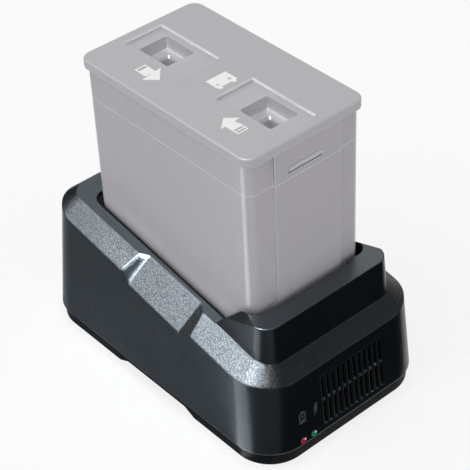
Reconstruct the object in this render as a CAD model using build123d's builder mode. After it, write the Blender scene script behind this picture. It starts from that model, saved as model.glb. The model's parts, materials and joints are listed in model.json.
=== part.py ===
from build123d import *
from math import radians, tan, cos, sin
import os

os.makedirs("parts", exist_ok=True)

# All sizes are in millimetres. +Z is up, the lamp and vent end faces -Y, and the origin
# lies on the floor under the centre of the housing's footprint.

# ---- charger housing ----
foot_height = 1.0                # how far the rubber feet stand below the pan
parting_height = 12.0            # seam between the base pan and the upper housing
base_width = 159.3
base_length = 257.7
base_corner_radius = 31.5
side_draft = 2.1                 # degrees that the long walls lean in
front_draft = 6.1
rear_draft = 8.0
housing_wall = 2.5

rim_tilt = 10.0                  # degrees that the rim climbs towards the rear
rim_height = 101.5               # rim height above the floor at the origin
rim_side_inset = 17.65           # from the footprint's edge in to the flat rim
rim_front_inset = 18.3
rim_rear_inset = 24.85
rim_width = base_width - 2 * rim_side_inset
rim_front = rim_front_inset - base_length / 2
rim_rear = base_length / 2 - rim_rear_inset
rim_corner_radius = 13.0
shoulder_drop = 11.1             # from the rim down to the foot of the shoulder
shoulder_side = 14.8             # width of the sloping shoulder along the sides
shoulder_front = 12.3
shoulder_rear = 11.0
shoulder_reach = 3.0             # how far past its foot the slope is carried, to meet the walls

# ---- raised collar round the front of the bay ----
collar_height = 111.9
collar_side_step = 2.2           # from the rim's edge in to the collar
collar_front_step = 1.5
collar_width = rim_width - 2 * collar_side_step
collar_front = rim_front + collar_front_step
collar_corner_radius = 12.0
collar_draft = 4.5
collar_arm = 29.05               # length of the arms at full height
collar_ramp_run = 21.0
collar_ramp_top = collar_front + collar_arm  # where the side arms start to fall to the rim
collar_ramp_foot = collar_ramp_top + collar_ramp_run

# ---- finger scoops half way along the shoulders ----
scoop_front = -38.8
scoop_rear = 16.6
scoop_front_run = 12.3           # length of the sloping end walls
scoop_rear_run = 10.5
scoop_rim_inset = 4.7            # how far the scoop bites into the rim
scoop_wall_drop = 6.5            # how far its foot lies below the shoulder's foot

# ---- battery pack ----
pack_centre = -2.0               # centre of the pack along Y
pack_width = 101.4
pack_length = 170.0
pack_corner_radius = 8.0
pack_wall = 2.5
pack_floor = 3.0
panel_width = 59.3               # raised panel on each end of the pack
panel_step = 2.0
pack_bottom = 44.0
pack_seam = 208.5                # joint between the case and the head
pack_foot_radius = 3.0
lid_side_lip = 2.4               # how far the lid stands out past the case
lid_end_lip = 2.6
lid_width = pack_width + 2 * lid_side_lip
lid_length = pack_length + 2 * lid_end_lip
lid_corner_radius = 9.0
lid_top = 240.0
lid_thickness = 7.0
lid_edge = 1.4
lid_skin = 2.5                   # thickness of the lid over its pockets
side_pocket_width = 20.0
side_pocket_end = 20.0           # from the pack's ends to its side pockets
side_pocket_inset = 15.7
side_pocket_length = pack_length - 2 * side_pocket_end
side_pocket_x = pack_width / 2 - side_pocket_inset

# ---- bay and liner ----
bay_side_gap = 3.5               # from the pack's side to the rim's inner edge
bay_end_gap = 5.0
bay_panel_gap = 3.0              # extra half width of the bay round the end panels
bay_corner_radius = 10.0
liner_gap = 0.8                  # running gap between the pack and the liner
liner_wall = 2.0
liner_floor = 2.5
liner_fit = 0.3                  # gap between the liner and the housing
liner_top_drop = 1.8             # liner flange below the rim
liner_flange = 2.5
ledge_thickness = 2.5
ledge_width = 8.0

# ---- vents, lamps and inlet ----
vent_count = 12
vent_pitch = 5.08
vent_width = 2.4
vent_height = 20.3
vent_row_pitch = 21.8
vent_lower_row = 27.4
vent_centre = 5.3
lamp_radius = 2.5
lamp_height = 15.4
lamp_red_x = -44.6
lamp_green_x = -34.5
lamp_fit = 0.1
lamp_flange = 0.8
lamp_seat = 0.7                  # lens flange behind the inner face of the wall
lamp_dome = 0.3
lamp_dome_taper = 35.0
led_gap = 0.3
led_length = 5.0
indicator_width = 24.0
indicator_tall = 18.0
indicator_foot = 6.0
indicator_rib = 5.0
indicator_rib_height = 10.0
inlet_side_inset = 37.65         # from the footprint's edge in to the inlet
inlet_x = base_width / 2 - inlet_side_inset
inlet_height = 30.0
inlet_width = 20.0
inlet_tall = 12.0
inlet_depth = 20.0
inlet_cavity_tall = 8.6
inlet_cavity_depth = 14.0
inlet_pin_radius = 1.2
inlet_pin_pitch = 8.6
inlet_pin_recess = 3.0           # pin tips below the inlet's mouth
inlet_tail = 5.0                 # pins behind the inlet's body
inlet_corner = 3.0
inlet_setback = 2.4              # inlet's mouth behind the plane of the rear foot
inlet_play = 0.5
inlet_flange_setback = (housing_wall + inlet_play
                        + (inlet_height + inlet_tall / 2 + inlet_corner - parting_height)
                        * tan(radians(rear_draft)))

# ---- base pan, feet and screws ----
pan_inset = 2.0
pan_wall = 2.5
pan_lip = 3.0                    # height of the locating lip inside the housing
pan_lip_gap = 0.8
arch_centre = -4.0               # the pan is arched clear of the floor between its feet
arch_top_width = 66.0
arch_foot_width = 86.0
arch_height = 4.6
pad_radius = 8.0
pad_recess = 1.0
pad_side_inset = 17.65
pad_front_inset = 30.85
pad_rear_inset = 26.85
pad_x = base_width / 2 - pad_side_inset
pad_front = pad_front_inset - base_length / 2
pad_rear = base_length / 2 - pad_rear_inset
boss_radius = 4.5
boss_side_inset = 13.65
boss_front_inset = 50.85
boss_rear_inset = 44.85
boss_x = base_width / 2 - boss_side_inset
boss_front = boss_front_inset - base_length / 2
boss_rear = base_length / 2 - boss_rear_inset
boss_foot = 9.0                  # height of the pan's screw pillars
screw_hole_radius = 2.2
screw_head_radius = 3.9
screw_head_height = 2.4
screw_head_depth = 4.0
screw_shank_radius = 1.9
screw_length = 14.0

# ---- electronics ----
board_width = 118.0
board_length = 170.0
board_thickness = 1.6
board_height = 13.0
board_centre = 4.0
board_gap = 1.0                  # room between the board and the screw pillars
standoff_radius = 3.5
standoff_inset = 7.0             # from the board's edges
standoff_x = board_width / 2 - standoff_inset
standoff_front = board_centre - board_length / 2 + standoff_inset
standoff_rear = board_centre + board_length / 2 - standoff_inset
board_screw_radius = 1.4
board_screw_head_radius = 2.8
board_screw_head_height = 1.8
board_screw_length = 6.0
cross_length = 4.4
cross_width = 1.1
core_width = 34.0
core_length = 30.0
core_height = 20.0
core_window = 8.0
core_leg = 16.0
core_yoke = 5.0
winding_fit = 0.4
winding_cap = 1.5
core_x = 20.0
core_y = 30.0
capacitor_radius = 8.0
capacitor_height = 20.0
capacitor_edge = 0.8
capacitor_inset = 29.0           # from the board's edge
capacitor_x = capacitor_inset - board_width / 2
capacitor_spacing = 19.0
capacitor_y = 32.0
sink_width = 46.0
sink_length = 34.0
sink_height = 18.0
sink_base = 4.0
sink_fin = 1.6
sink_fin_count = 8
sink_x = 0.0
sink_y = -40.0

# ---- contacts ----
contact_width = 46.0
contact_length = 15.0
contact_height = 9.0
contact_radius = 2.0
contact_fit = 2.0                # clearance of the recess under the pack
blade_count = 3
blade_pitch = 14.0
blade_width = 8.0
blade_thickness = 1.0
blade_rise = 9.0
socket_width = 56.0
socket_length = 22.0
socket_height = 12.0
socket_slot_width = 10.0
socket_slot_length = 4.0
clip_thickness = 0.6
socket_seat = 54.5
block_seat = 67.0
block_rib_pitch = 70.0

# ---- battery blocks ----
block_side_gap = 1.2             # room round each block inside the pack
block_end_gap = 7.0
block_width = pack_width - 2 * (pack_wall + block_side_gap)
block_length = pack_length - 2 * (pack_wall + block_end_gap)
block_height = 65.0
block_edge = 1.5
terminal_width = 6.35
terminal_thickness = 0.8
terminal_height = 5.5
terminal_inset = 12.0

# ---- latches ----
latch_x = -2.6
latch_travel = 6.0
window_end = 5.6                 # from the pack's end in to the window
window_length = 62.1
window_outer = pack_length / 2 - window_end  # distances from the pack's centre along Y
window_inner = window_outer - window_length
window_width = 34.5
latch_fit = 0.3
latch_plate = 4.0
latch_plate_lap = 1.5            # plate hidden under the window's inner end
latch_plate_reach = 6.3
latch_plate_inner = window_inner - latch_plate_lap
latch_plate_outer = window_outer + latch_plate_reach
latch_flange_extra = 2.6         # plate hidden under each side of the window
cup_inner_gap = 17.0             # from the window's ends in to the cup
cup_outer_gap = 9.0
cup_inner = window_inner + cup_inner_gap
cup_outer = window_outer - cup_outer_gap
cup_width = 31.0
cup_bottom = 212.8
finger_inner_wall = 3.0          # of the cup at the mouth of the finger hole
finger_outer_wall = 2.5
finger_inner = cup_inner + finger_inner_wall
finger_outer = cup_outer - finger_outer_wall
finger_width = 24.6
finger_floor_length = 13.0
finger_floor_width = 12.5
finger_funnel = 12.0
finger_depth = 22.0
finger_edge = 1.6
bolt_width = 30.0
bolt_height = 5.0
bolt_bottom = 213.0
bolt_reach = 1.0                 # how far the bolt stands out of the end panel
bolt_tip = pack_length / 2 + panel_step + bolt_reach
bolt_bevel = 2.2
bolt_fit = 0.3
deck_bottom = 209.5
deck_top = 212.5
rail_width = 5.0
stop_half_length = 8.0
stop_width = 20.0
spring_radius = 4.0
spring_wire = 0.6
spring_turns = 6
spring_facets = 10               # straight runs of wire in each turn
spring_height = 221.0
spring_fit = 0.3
lid_screw_side = 6.8             # from the pack's sides and ends
lid_screw_end = 7.0
lid_screw_x = pack_width / 2 - lid_screw_side
lid_screw_y = pack_length / 2 - lid_screw_end
lid_screw_radius = 1.5
lid_screw_head_radius = 2.9
lid_screw_head_height = 1.8
lid_screw_bite = 4.5             # how far the hidden screws reach into the lid
lid_boss_radius = 4.0

slope = tan(radians(rim_tilt))
ends = (-1, 1)


def rim_at(y):
    """Height of the rim plane above the floor at a place along Y."""
    return rim_height + slope * y


def wall_outline(height, inset=0.0):
    """Half width, front, rear and corner radius of the drafted walls at a height."""
    rise = height - parting_height
    half_width = base_width / 2 - rise * tan(radians(side_draft)) - inset
    front = -base_length / 2 + rise * tan(radians(front_draft)) + inset
    rear = base_length / 2 - rise * tan(radians(rear_draft)) - inset
    radius = base_corner_radius - rise * tan(radians(side_draft)) - inset
    return half_width, front, rear, radius


def rounded_rectangle(plane, half_width, front, rear, radius):
    """A rounded rectangle on a plane, from its edges."""
    with BuildSketch(plane) as outline:
        with Locations((0, (front + rear) / 2)):
            RectangleRounded(2 * half_width, rear - front, radius)
    return outline.sketch


def drafted_walls(inset=0.0):
    """The housing's four leaning walls as one solid block."""
    top = rim_at(base_length / 2) + housing_wall
    sections = []
    for height in (parting_height, top):
        sections.append(rounded_rectangle(Plane.XY.offset(height), *wall_outline(height, inset)))
    return loft(sections, ruled=True)


def shoulder_block(inset=0.0):
    """Everything under the tilted rim and its sloping shoulders, down to the pan."""
    lower = rim_height - inset - shoulder_reach * shoulder_drop
    upper = rim_height - inset
    sections = []
    for height, spread in ((lower, shoulder_reach), (upper, 0.0)):
        plane = Plane((0, 0, height), x_dir=(1, 0, 0), z_dir=(0, -slope, 1))
        stretch = 1 / cos(radians(rim_tilt))
        half_width = rim_width / 2 + spread * shoulder_side - inset
        front = (rim_front - spread * shoulder_front + inset) * stretch
        rear = (rim_rear + spread * shoulder_rear - inset) * stretch
        radius = rim_corner_radius + spread * shoulder_rear - inset
        sections.append(rounded_rectangle(plane, half_width, front, rear, radius))
    crown = loft(sections, ruled=True)
    skirt = extrude(sections[0], amount=lower + slope * base_length, dir=(0, 0, -1))
    return crown + skirt


def collar_block(inset=0.0):
    """The raised U round the front of the bay, with its arms ramping down to the rim."""
    foot = rim_at(rim_front) - shoulder_drop
    top = collar_height - inset
    sections = []
    for height in (foot, top):
        spread = (collar_height - height) * tan(radians(collar_draft)) - inset
        half_width = collar_width / 2 + spread
        front = collar_front - spread
        radius = collar_corner_radius + spread
        sections.append(rounded_rectangle(Plane.XY.offset(height), half_width, front, 0, radius))
    block = loft(sections, ruled=True)
    ramp_rise = collar_height - rim_at(collar_ramp_foot)
    ramp_run = collar_ramp_foot - collar_ramp_top
    ramp = Plane((0, collar_ramp_top - inset, collar_height), x_dir=(1, 0, 0),
                 z_dir=(0, ramp_rise, ramp_run))
    return split(block, bisect_by=ramp, keep=Keep.BOTTOM)


def pack_outline(grow=0.0, panel_grow=0.0, end_grow=0.0):
    """Plan of the pack: rounded columns at the corners and a raised panel on each end."""
    with BuildSketch() as plan:
        with Locations((0, pack_centre)):
            RectangleRounded(pack_width + 2 * grow, pack_length + 2 * (grow + end_grow),
                             max(pack_corner_radius + grow, 1.0))
            Rectangle(panel_width + 2 * (grow + panel_grow),
                      pack_length + 2 * (panel_step + grow + end_grow))
    return plan.sketch


def bay_outline(shrink=0.0):
    """Plan of the bay in the housing."""
    with BuildSketch() as plan:
        with Locations((0, pack_centre)):
            RectangleRounded(pack_width + 2 * (bay_side_gap - shrink),
                             pack_length + 2 * (bay_end_gap - shrink), bay_corner_radius)
            Rectangle(panel_width + 2 * (bay_panel_gap - shrink),
                      pack_length + 2 * (bay_end_gap + panel_step - shrink))
    return plan.sketch


def raised(plan, height):
    """A plan moved up to a height."""
    return plan.moved(Location((0, 0, height)))


def under_slope(drop):
    """A big block that fills everything below the rim plane lowered by drop."""
    reach = base_length
    tilted = Plane((0, 0, rim_height - drop), x_dir=(1, 0, 0), z_dir=(0, -slope, 1))
    with BuildSketch(tilted) as face:
        Rectangle(2 * reach, 2 * reach)
    return extrude(face.sketch, amount=2 * reach, dir=(0, 0, -1))


def finish(piece, name):
    """Label a finished piece and write its STEP file."""
    piece.part.label = name
    export_step(piece.part, f"parts/{name}.step")


def scoop_cutter(side):
    """The tool that cuts one finger scoop out of a shoulder."""
    foot_x = rim_width / 2 + shoulder_side
    lip_x = rim_width / 2 - scoop_rim_inset
    rise = shoulder_drop + scoop_wall_drop
    along = Vector(0, 1, slope).normalized()
    up_slope = Vector(-side * (foot_x - lip_x), 0, rise).normalized()
    up_slope = (up_slope - along * up_slope.dot(along)).normalized()
    lip = Vector(side * lip_x, 0, rim_height)
    plane = Plane(lip, x_dir=along, z_dir=up_slope)
    outward = side * plane.y_dir.X
    way = 1 if outward > 0 else -1
    depth = 3 * scoop_rear_run
    stretch = 1 / cos(radians(rim_tilt))
    front = scoop_front * stretch
    rear = scoop_rear * stretch
    wide = depth / (scoop_wall_drop * 0.75)
    with BuildSketch(plane) as profile:
        Polygon((front, 0), (rear, 0),
                (rear + scoop_rear_run * wide, way * depth),
                (front - scoop_front_run * wide, way * depth), align=None)
    return extrude(profile.sketch, amount=3 * rise, both=True)


# ======================= charger =======================

outer_form = (drafted_walls() & shoulder_block()) + collar_block()
inner_form = (drafted_walls(housing_wall) & shoulder_block(housing_wall)) + collar_block(housing_wall)
bay_bottom = pack_bottom - liner_floor
bay_depth = collar_height - bay_bottom
ledge_bottom = bay_bottom - ledge_thickness
scoop_cutters = [scoop_cutter(side) for side in ends]
scoop_backs = []
for side, cutter in zip(ends, scoop_cutters):
    shifted = cutter.moved(Location((-side * housing_wall, 0, -housing_wall)))
    scoop_backs.append((shifted & inner_form) - cutter)
tub_block = extrude(raised(bay_outline(-housing_wall), ledge_bottom), amount=2 * bay_depth)
bay_cut = extrude(raised(bay_outline(), bay_bottom), amount=2 * bay_depth)
ledge_cut = extrude(raised(bay_outline(ledge_width), 0), amount=bay_depth)

with BuildPart() as boss_columns:
    with BuildSketch(Plane.XY.offset(boss_foot)):
        for boss_y in (boss_front, boss_rear):
            with Locations((-boss_x, boss_y), (boss_x, boss_y)):
                Circle(boss_radius)
    extrude(amount=collar_height)
    with BuildSketch(Plane.XY):
        Rectangle(2 * base_width, 2 * base_length)
    extrude(amount=parting_height, mode=Mode.SUBTRACT)
    add(inner_form, mode=Mode.INTERSECT)

with BuildPart() as boss_feet:
    with BuildSketch(Plane.XY.offset(boss_foot)):
        for boss_y in (boss_front, boss_rear):
            with Locations((-boss_x, boss_y), (boss_x, boss_y)):
                Circle(boss_radius)
    extrude(amount=parting_height - boss_foot)

with BuildPart() as upper_housing:
    add(outer_form)
    add(scoop_cutters, mode=Mode.SUBTRACT)
    add(inner_form - tub_block, mode=Mode.SUBTRACT)
    add(scoop_backs)
    add(boss_columns.part)
    add(boss_feet.part)
    add([bay_cut, ledge_cut], mode=Mode.SUBTRACT)
    with BuildSketch(Plane.XY.offset(boss_foot)):
        for boss_y in (boss_front, boss_rear):
            with Locations((-boss_x, boss_y), (boss_x, boss_y)):
                Circle(screw_shank_radius)
    extrude(amount=screw_length, mode=Mode.SUBTRACT)
    with BuildSketch(Plane.XZ.offset(base_length / 2 - 5 * housing_wall)):
        with Locations((vent_centre, vent_lower_row + vent_row_pitch / 2)):
            with GridLocations(vent_pitch, vent_row_pitch, vent_count, 2):
                Rectangle(vent_width, vent_height)
        with Locations((lamp_red_x, lamp_height), (lamp_green_x, lamp_height)):
            Circle(lamp_radius + lamp_fit)
    extrude(amount=6 * housing_wall, mode=Mode.SUBTRACT)
    with BuildSketch(Plane.XZ.offset(-base_length / 2 + 3 * housing_wall)):
        with Locations((inlet_x, inlet_height)):
            RectangleRounded(inlet_width + 2 * lamp_fit, inlet_tall + 2 * lamp_fit, inlet_corner + lamp_fit)
    extrude(amount=-6 * housing_wall, mode=Mode.SUBTRACT)
finish(upper_housing, "upper_housing")

# Liner: the dark tub that guides the pack, with a flange that follows the rim.
liner_inner = extrude(raised(pack_outline(liner_gap), pack_bottom), amount=2 * bay_depth)
liner_shell = extrude(raised(pack_outline(liner_gap + liner_wall), bay_bottom), amount=2 * bay_depth)
liner_plate = extrude(raised(bay_outline(liner_fit), bay_bottom), amount=2 * bay_depth)
liner_slope = under_slope(liner_top_drop)
flange_zone = liner_slope - under_slope(liner_top_drop + liner_flange)

with BuildPart() as bay_liner:
    add(liner_shell)
    add(liner_slope, mode=Mode.INTERSECT)
    add(liner_plate & flange_zone)
    add(liner_inner, mode=Mode.SUBTRACT)
    with BuildSketch(Plane.XY.offset(bay_bottom)):
        with Locations((0, pack_centre)):
            with GridLocations(blade_pitch, 0, blade_count, 1):
                Rectangle(blade_width + 2 * lamp_fit, blade_thickness + 2 * lamp_fit)
    extrude(amount=2 * liner_floor, mode=Mode.SUBTRACT)
finish(bay_liner, "bay_liner")

with BuildPart() as contact_block:
    with BuildSketch(Plane.XY.offset(pack_bottom)):
        with Locations((0, pack_centre)):
            RectangleRounded(contact_width, contact_length, contact_radius)
    extrude(amount=contact_height)
    chamfer(contact_block.faces().sort_by(Axis.Z)[-1].edges(), contact_radius / 2)
    with BuildSketch(Plane.XY.offset(pack_bottom)):
        with Locations((0, pack_centre)):
            with GridLocations(blade_pitch, 0, blade_count, 1):
                Rectangle(blade_width, blade_thickness)
    extrude(amount=contact_height, mode=Mode.SUBTRACT)
finish(contact_block, "contact_block")

with BuildPart() as contact_blades:
    with BuildSketch(Plane.XY.offset(ledge_bottom)):
        with Locations((0, pack_centre)):
            with GridLocations(blade_pitch, 0, blade_count, 1):
                Rectangle(blade_width, blade_thickness)
    extrude(amount=pack_bottom + contact_height + blade_rise - ledge_bottom)
    chamfer(contact_blades.faces().group_by(Axis.Z)[-1].edges().filter_by(Axis.X), blade_thickness / 3)
finish(contact_blades, "contact_blades")

# Base pan: a tray inset under the housing, arched between its front and rear feet.
def pan_outline(inset):
    """Plan of the base pan, inset from the housing's foot."""
    return rounded_rectangle(Plane.XY, *wall_outline(parting_height, inset))


def arch_prism(grow, bottom, top):
    """The channel that lifts the middle of the pan, as a long prism across the width."""
    with BuildSketch(Plane.YZ.offset(-base_width)) as profile:
        half_top = arch_top_width / 2 + grow
        half_foot = arch_foot_width / 2 + grow
        with Locations((arch_centre, 0)):
            Polygon((-half_foot, bottom), (half_foot, bottom), (half_top, top), (-half_top, top),
                    align=None)
    return extrude(profile.sketch, amount=2 * base_width)


pan_tray = extrude(raised(pan_outline(pan_inset), foot_height), amount=parting_height - foot_height)
lip_inset = housing_wall + pan_lip_gap
pan_lip_ring = extrude(raised(pan_outline(lip_inset), foot_height),
                       amount=parting_height + pan_lip - foot_height)
pan_hollow = extrude(raised(pan_outline(lip_inset + pan_wall), foot_height + pan_wall),
                     amount=2 * parting_height)
arch_cut = arch_prism(0, foot_height, foot_height + arch_height)
arch_roof = arch_prism(pan_wall, foot_height, foot_height + arch_height + pan_wall)
pillar_places = [(x, y) for x in (-boss_x, boss_x) for y in (boss_front, boss_rear)]
standoff_places = [(x, y) for x in (-standoff_x, standoff_x) for y in (standoff_front, standoff_rear)]
pad_places = [(x, y) for x in (-pad_x, pad_x) for y in (pad_front, pad_rear)]

lamp_middle = (lamp_red_x + lamp_green_x) / 2
lens_face = base_length / 2 - (lamp_height - parting_height) * tan(radians(front_draft))
lens_seat = lens_face - housing_wall - lamp_seat
led_face = lens_seat - lamp_flange - led_gap
led_foot = led_face - led_length

with BuildPart() as base_pan:
    add(pan_tray)
    add(pan_lip_ring)
    add(pan_hollow - arch_roof, mode=Mode.SUBTRACT)
    with BuildSketch(Plane.XY.offset(parting_height)):
        with Locations((lamp_middle, -lens_face)):
            Rectangle(indicator_width, 4 * indicator_rib)
    extrude(amount=2 * pan_lip, mode=Mode.SUBTRACT)
    with BuildSketch(Plane.XY.offset(foot_height)):
        with Locations((lamp_middle, -led_foot + board_thickness / 2)):
            Rectangle(indicator_width, indicator_rib)
    extrude(amount=indicator_rib_height - foot_height)
    with BuildSketch(Plane.XY.offset(indicator_foot)):
        with Locations((lamp_middle, -led_foot + board_thickness / 2)):
            Rectangle(indicator_width, board_thickness + 2 * lamp_fit)
    extrude(amount=indicator_tall, mode=Mode.SUBTRACT)
    with BuildSketch(Plane.XY.offset(foot_height)):
        with Locations(pillar_places):
            Circle(boss_radius + pan_wall / 2)
    extrude(amount=boss_foot - foot_height)
    with BuildSketch(Plane.XY.offset(foot_height)):
        with Locations(standoff_places):
            Circle(standoff_radius)
    extrude(amount=board_height - foot_height)
    add(arch_cut, mode=Mode.SUBTRACT)
    with BuildSketch(Plane.XY.offset(foot_height)):
        with Locations(pillar_places):
            Circle(screw_head_radius + lamp_fit)
    extrude(amount=screw_head_depth, mode=Mode.SUBTRACT)
    with BuildSketch(Plane.XY.offset(foot_height)):
        with Locations(pillar_places):
            Circle(screw_hole_radius)
    extrude(amount=boss_foot, mode=Mode.SUBTRACT)
    with BuildSketch(Plane.XY.offset(foot_height)):
        with Locations(pad_places):
            Circle(pad_radius)
    extrude(amount=pad_recess, mode=Mode.SUBTRACT)
    with BuildSketch(Plane.XY.offset(board_height - board_screw_length)):
        with Locations(standoff_places):
            Circle(board_screw_radius)
    extrude(amount=board_height, mode=Mode.SUBTRACT)
finish(base_pan, "base_pan")

with BuildPart() as foot_pads:
    with BuildSketch():
        with Locations(pad_places):
            Circle(pad_radius)
    extrude(amount=foot_height + pad_recess)
    chamfer(foot_pads.edges().group_by(Axis.Z)[0], foot_height / 2)
finish(foot_pads, "foot_pads")

with BuildPart() as base_screws:
    head_seat = foot_height + screw_head_depth
    with BuildSketch(Plane.XY.offset(head_seat - screw_head_height)):
        with Locations(pillar_places):
            Circle(screw_head_radius - lamp_fit)
    extrude(amount=screw_head_height)
    with BuildSketch(Plane.XY.offset(head_seat)):
        with Locations(pillar_places):
            Circle(screw_shank_radius)
    extrude(amount=screw_length)
    with BuildSketch(Plane.XY.offset(head_seat - screw_head_height)):
        with Locations(pillar_places):
            Rectangle(cross_length, cross_width)
            Rectangle(cross_width, cross_length)
    extrude(amount=screw_head_height / 2, mode=Mode.SUBTRACT)
finish(base_screws, "base_screws")


# ======================= lamps, inlet and electronics =======================

def lamp(x, name):
    """A round indicator lens through the front wall, with a flange behind it."""
    with BuildPart() as lens:
        with BuildSketch(Plane.XZ.offset(lens_seat)):
            with Locations((x, lamp_height)):
                Circle(lamp_radius)
        extrude(amount=lens_face - lens_seat)
        with BuildSketch(Plane.XZ.offset(lens_face)):
            with Locations((x, lamp_height)):
                Circle(lamp_radius)
        extrude(amount=lamp_dome, taper=lamp_dome_taper)
        with BuildSketch(Plane.XZ.offset(lens_seat)):
            with Locations((x, lamp_height)):
                Circle(lamp_radius + lamp_flange)
        extrude(amount=-lamp_flange)
    finish(lens, name)


lamp(lamp_red_x, "lamp_lens_red")
lamp(lamp_green_x, "lamp_lens_green")

with BuildPart() as mains_inlet:
    with BuildSketch(Plane.XZ.offset(-base_length / 2 + inlet_setback)):
        with Locations((inlet_x, inlet_height)):
            RectangleRounded(inlet_width, inlet_tall, inlet_corner)
    extrude(amount=inlet_depth)
    with BuildSketch(Plane.XZ.offset(-base_length / 2 + inlet_setback)):
        with Locations((inlet_x, inlet_height)):
            with GridLocations(inlet_pin_pitch, 0, 2, 1):
                Circle(inlet_cavity_tall / 2)
            Rectangle(inlet_pin_pitch, inlet_cavity_tall)
    extrude(amount=inlet_cavity_depth, mode=Mode.SUBTRACT)
    with BuildSketch(Plane.XZ.offset(-base_length / 2 + inlet_flange_setback)):
        with Locations((inlet_x, inlet_height)):
            RectangleRounded(inlet_width + 2 * pan_wall, inlet_tall + 2 * pan_wall, inlet_corner)
            RectangleRounded(inlet_width - 2 * lamp_fit, inlet_tall - 2 * lamp_fit, inlet_corner,
                             mode=Mode.SUBTRACT)
    extrude(amount=housing_wall)
    with BuildSketch(Plane.XZ.offset(-base_length / 2 + inlet_setback)):
        with Locations((inlet_x, inlet_height)):
            with GridLocations(inlet_pin_pitch, 0, 2, 1):
                Circle(inlet_pin_radius)
    extrude(amount=inlet_depth, mode=Mode.SUBTRACT)
finish(mains_inlet, "mains_inlet")

with BuildPart() as inlet_pins:
    pin_back = inlet_setback + inlet_depth + inlet_tail
    with BuildSketch(Plane.XZ.offset(-base_length / 2 + pin_back)):
        with Locations((inlet_x, inlet_height)):
            with GridLocations(inlet_pin_pitch, 0, 2, 1):
                Circle(inlet_pin_radius)
    extrude(amount=-(pin_back - inlet_setback - inlet_pin_recess))
    chamfer(inlet_pins.faces().group_by(Axis.Y)[-1].edges(), inlet_pin_radius / 2)
finish(inlet_pins, "inlet_pins")

with BuildPart() as main_circuit_board:
    with BuildSketch(Plane.XY.offset(board_height)):
        with Locations((0, board_centre)):
            Rectangle(board_width, board_length)
        with Locations(standoff_places):
            Circle(board_screw_radius + lamp_fit, mode=Mode.SUBTRACT)
        with Locations(pillar_places):
            Circle(boss_radius + board_gap, mode=Mode.SUBTRACT)
    extrude(amount=board_thickness)
finish(main_circuit_board, "main_circuit_board")

board_top = board_height + board_thickness

with BuildPart() as board_screws:
    with BuildSketch(Plane.XY.offset(board_top)):
        with Locations(standoff_places):
            Circle(board_screw_head_radius)
    extrude(amount=board_screw_head_height)
    with BuildSketch(Plane.XY.offset(board_height - board_screw_length)):
        with Locations(standoff_places):
            Circle(board_screw_radius)
    extrude(amount=board_top - board_height + board_screw_length)
finish(board_screws, "board_screws")

with BuildPart() as transformer_core:
    with BuildSketch(Plane.XY.offset(board_top)):
        with Locations((core_x, core_y)):
            Rectangle(core_width, core_length)
            with GridLocations(core_width - core_leg, 0, 2, 1):
                Rectangle(core_window, core_length - 2 * core_yoke, mode=Mode.SUBTRACT)
    extrude(amount=core_height)
finish(transformer_core, "transformer_core")

with BuildPart() as transformer_winding:
    with BuildSketch(Plane.XY.offset(board_top)):
        with Locations((core_x, core_y)):
            with GridLocations(core_width - core_leg, 0, 2, 1):
                Rectangle(core_window - winding_fit, core_length - 2 * core_yoke - winding_fit)
    extrude(amount=core_height)
    with BuildSketch(Plane.XY.offset(board_top + core_height)):
        with Locations((core_x, core_y)):
            Rectangle(core_width - core_leg + core_window - winding_fit,
                      core_length - 2 * core_yoke - winding_fit)
    extrude(amount=winding_cap)
finish(transformer_winding, "transformer_winding")

with BuildPart() as capacitors:
    with BuildSketch(Plane.XY.offset(board_top)):
        with Locations((capacitor_x, capacitor_y)):
            with GridLocations(capacitor_spacing, 0, 2, 1):
                Circle(capacitor_radius)
    extrude(amount=capacitor_height)
    chamfer(capacitors.edges().group_by(Axis.Z)[-1], capacitor_edge)
finish(capacitors, "capacitors")

with BuildPart() as heat_sink:
    with BuildSketch(Plane.XY.offset(board_top)):
        with Locations((sink_x, sink_y)):
            Rectangle(sink_width, sink_length)
    extrude(amount=sink_base)
    with BuildSketch(Plane.XY.offset(board_top + sink_base)):
        with Locations((sink_x, sink_y)):
            with GridLocations((sink_width - sink_fin) / (sink_fin_count - 1), 0, sink_fin_count, 1):
                Rectangle(sink_fin, sink_length)
    extrude(amount=sink_height - sink_base)
finish(heat_sink, "heat_sink")

with BuildPart() as indicator_leds:
    with BuildSketch(Plane.XZ.offset(led_face)):
        with Locations((lamp_red_x, lamp_height), (lamp_green_x, lamp_height)):
            Circle(lamp_radius - lamp_fit)
    extrude(amount=-led_length)
finish(indicator_leds, "indicator_leds")

with BuildPart() as indicator_board:
    with BuildSketch(Plane.XZ.offset(led_foot)):
        with Locations((lamp_middle, indicator_foot + indicator_tall / 2)):
            Rectangle(indicator_width, indicator_tall)
    extrude(amount=-board_thickness)
finish(indicator_board, "indicator_board")


# ======================= battery pack =======================

case_form = extrude(raised(pack_outline(), pack_bottom), amount=pack_seam - pack_bottom)
case_hollow = extrude(raised(pack_outline(-pack_wall), pack_bottom + pack_floor), amount=pack_seam)

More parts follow.
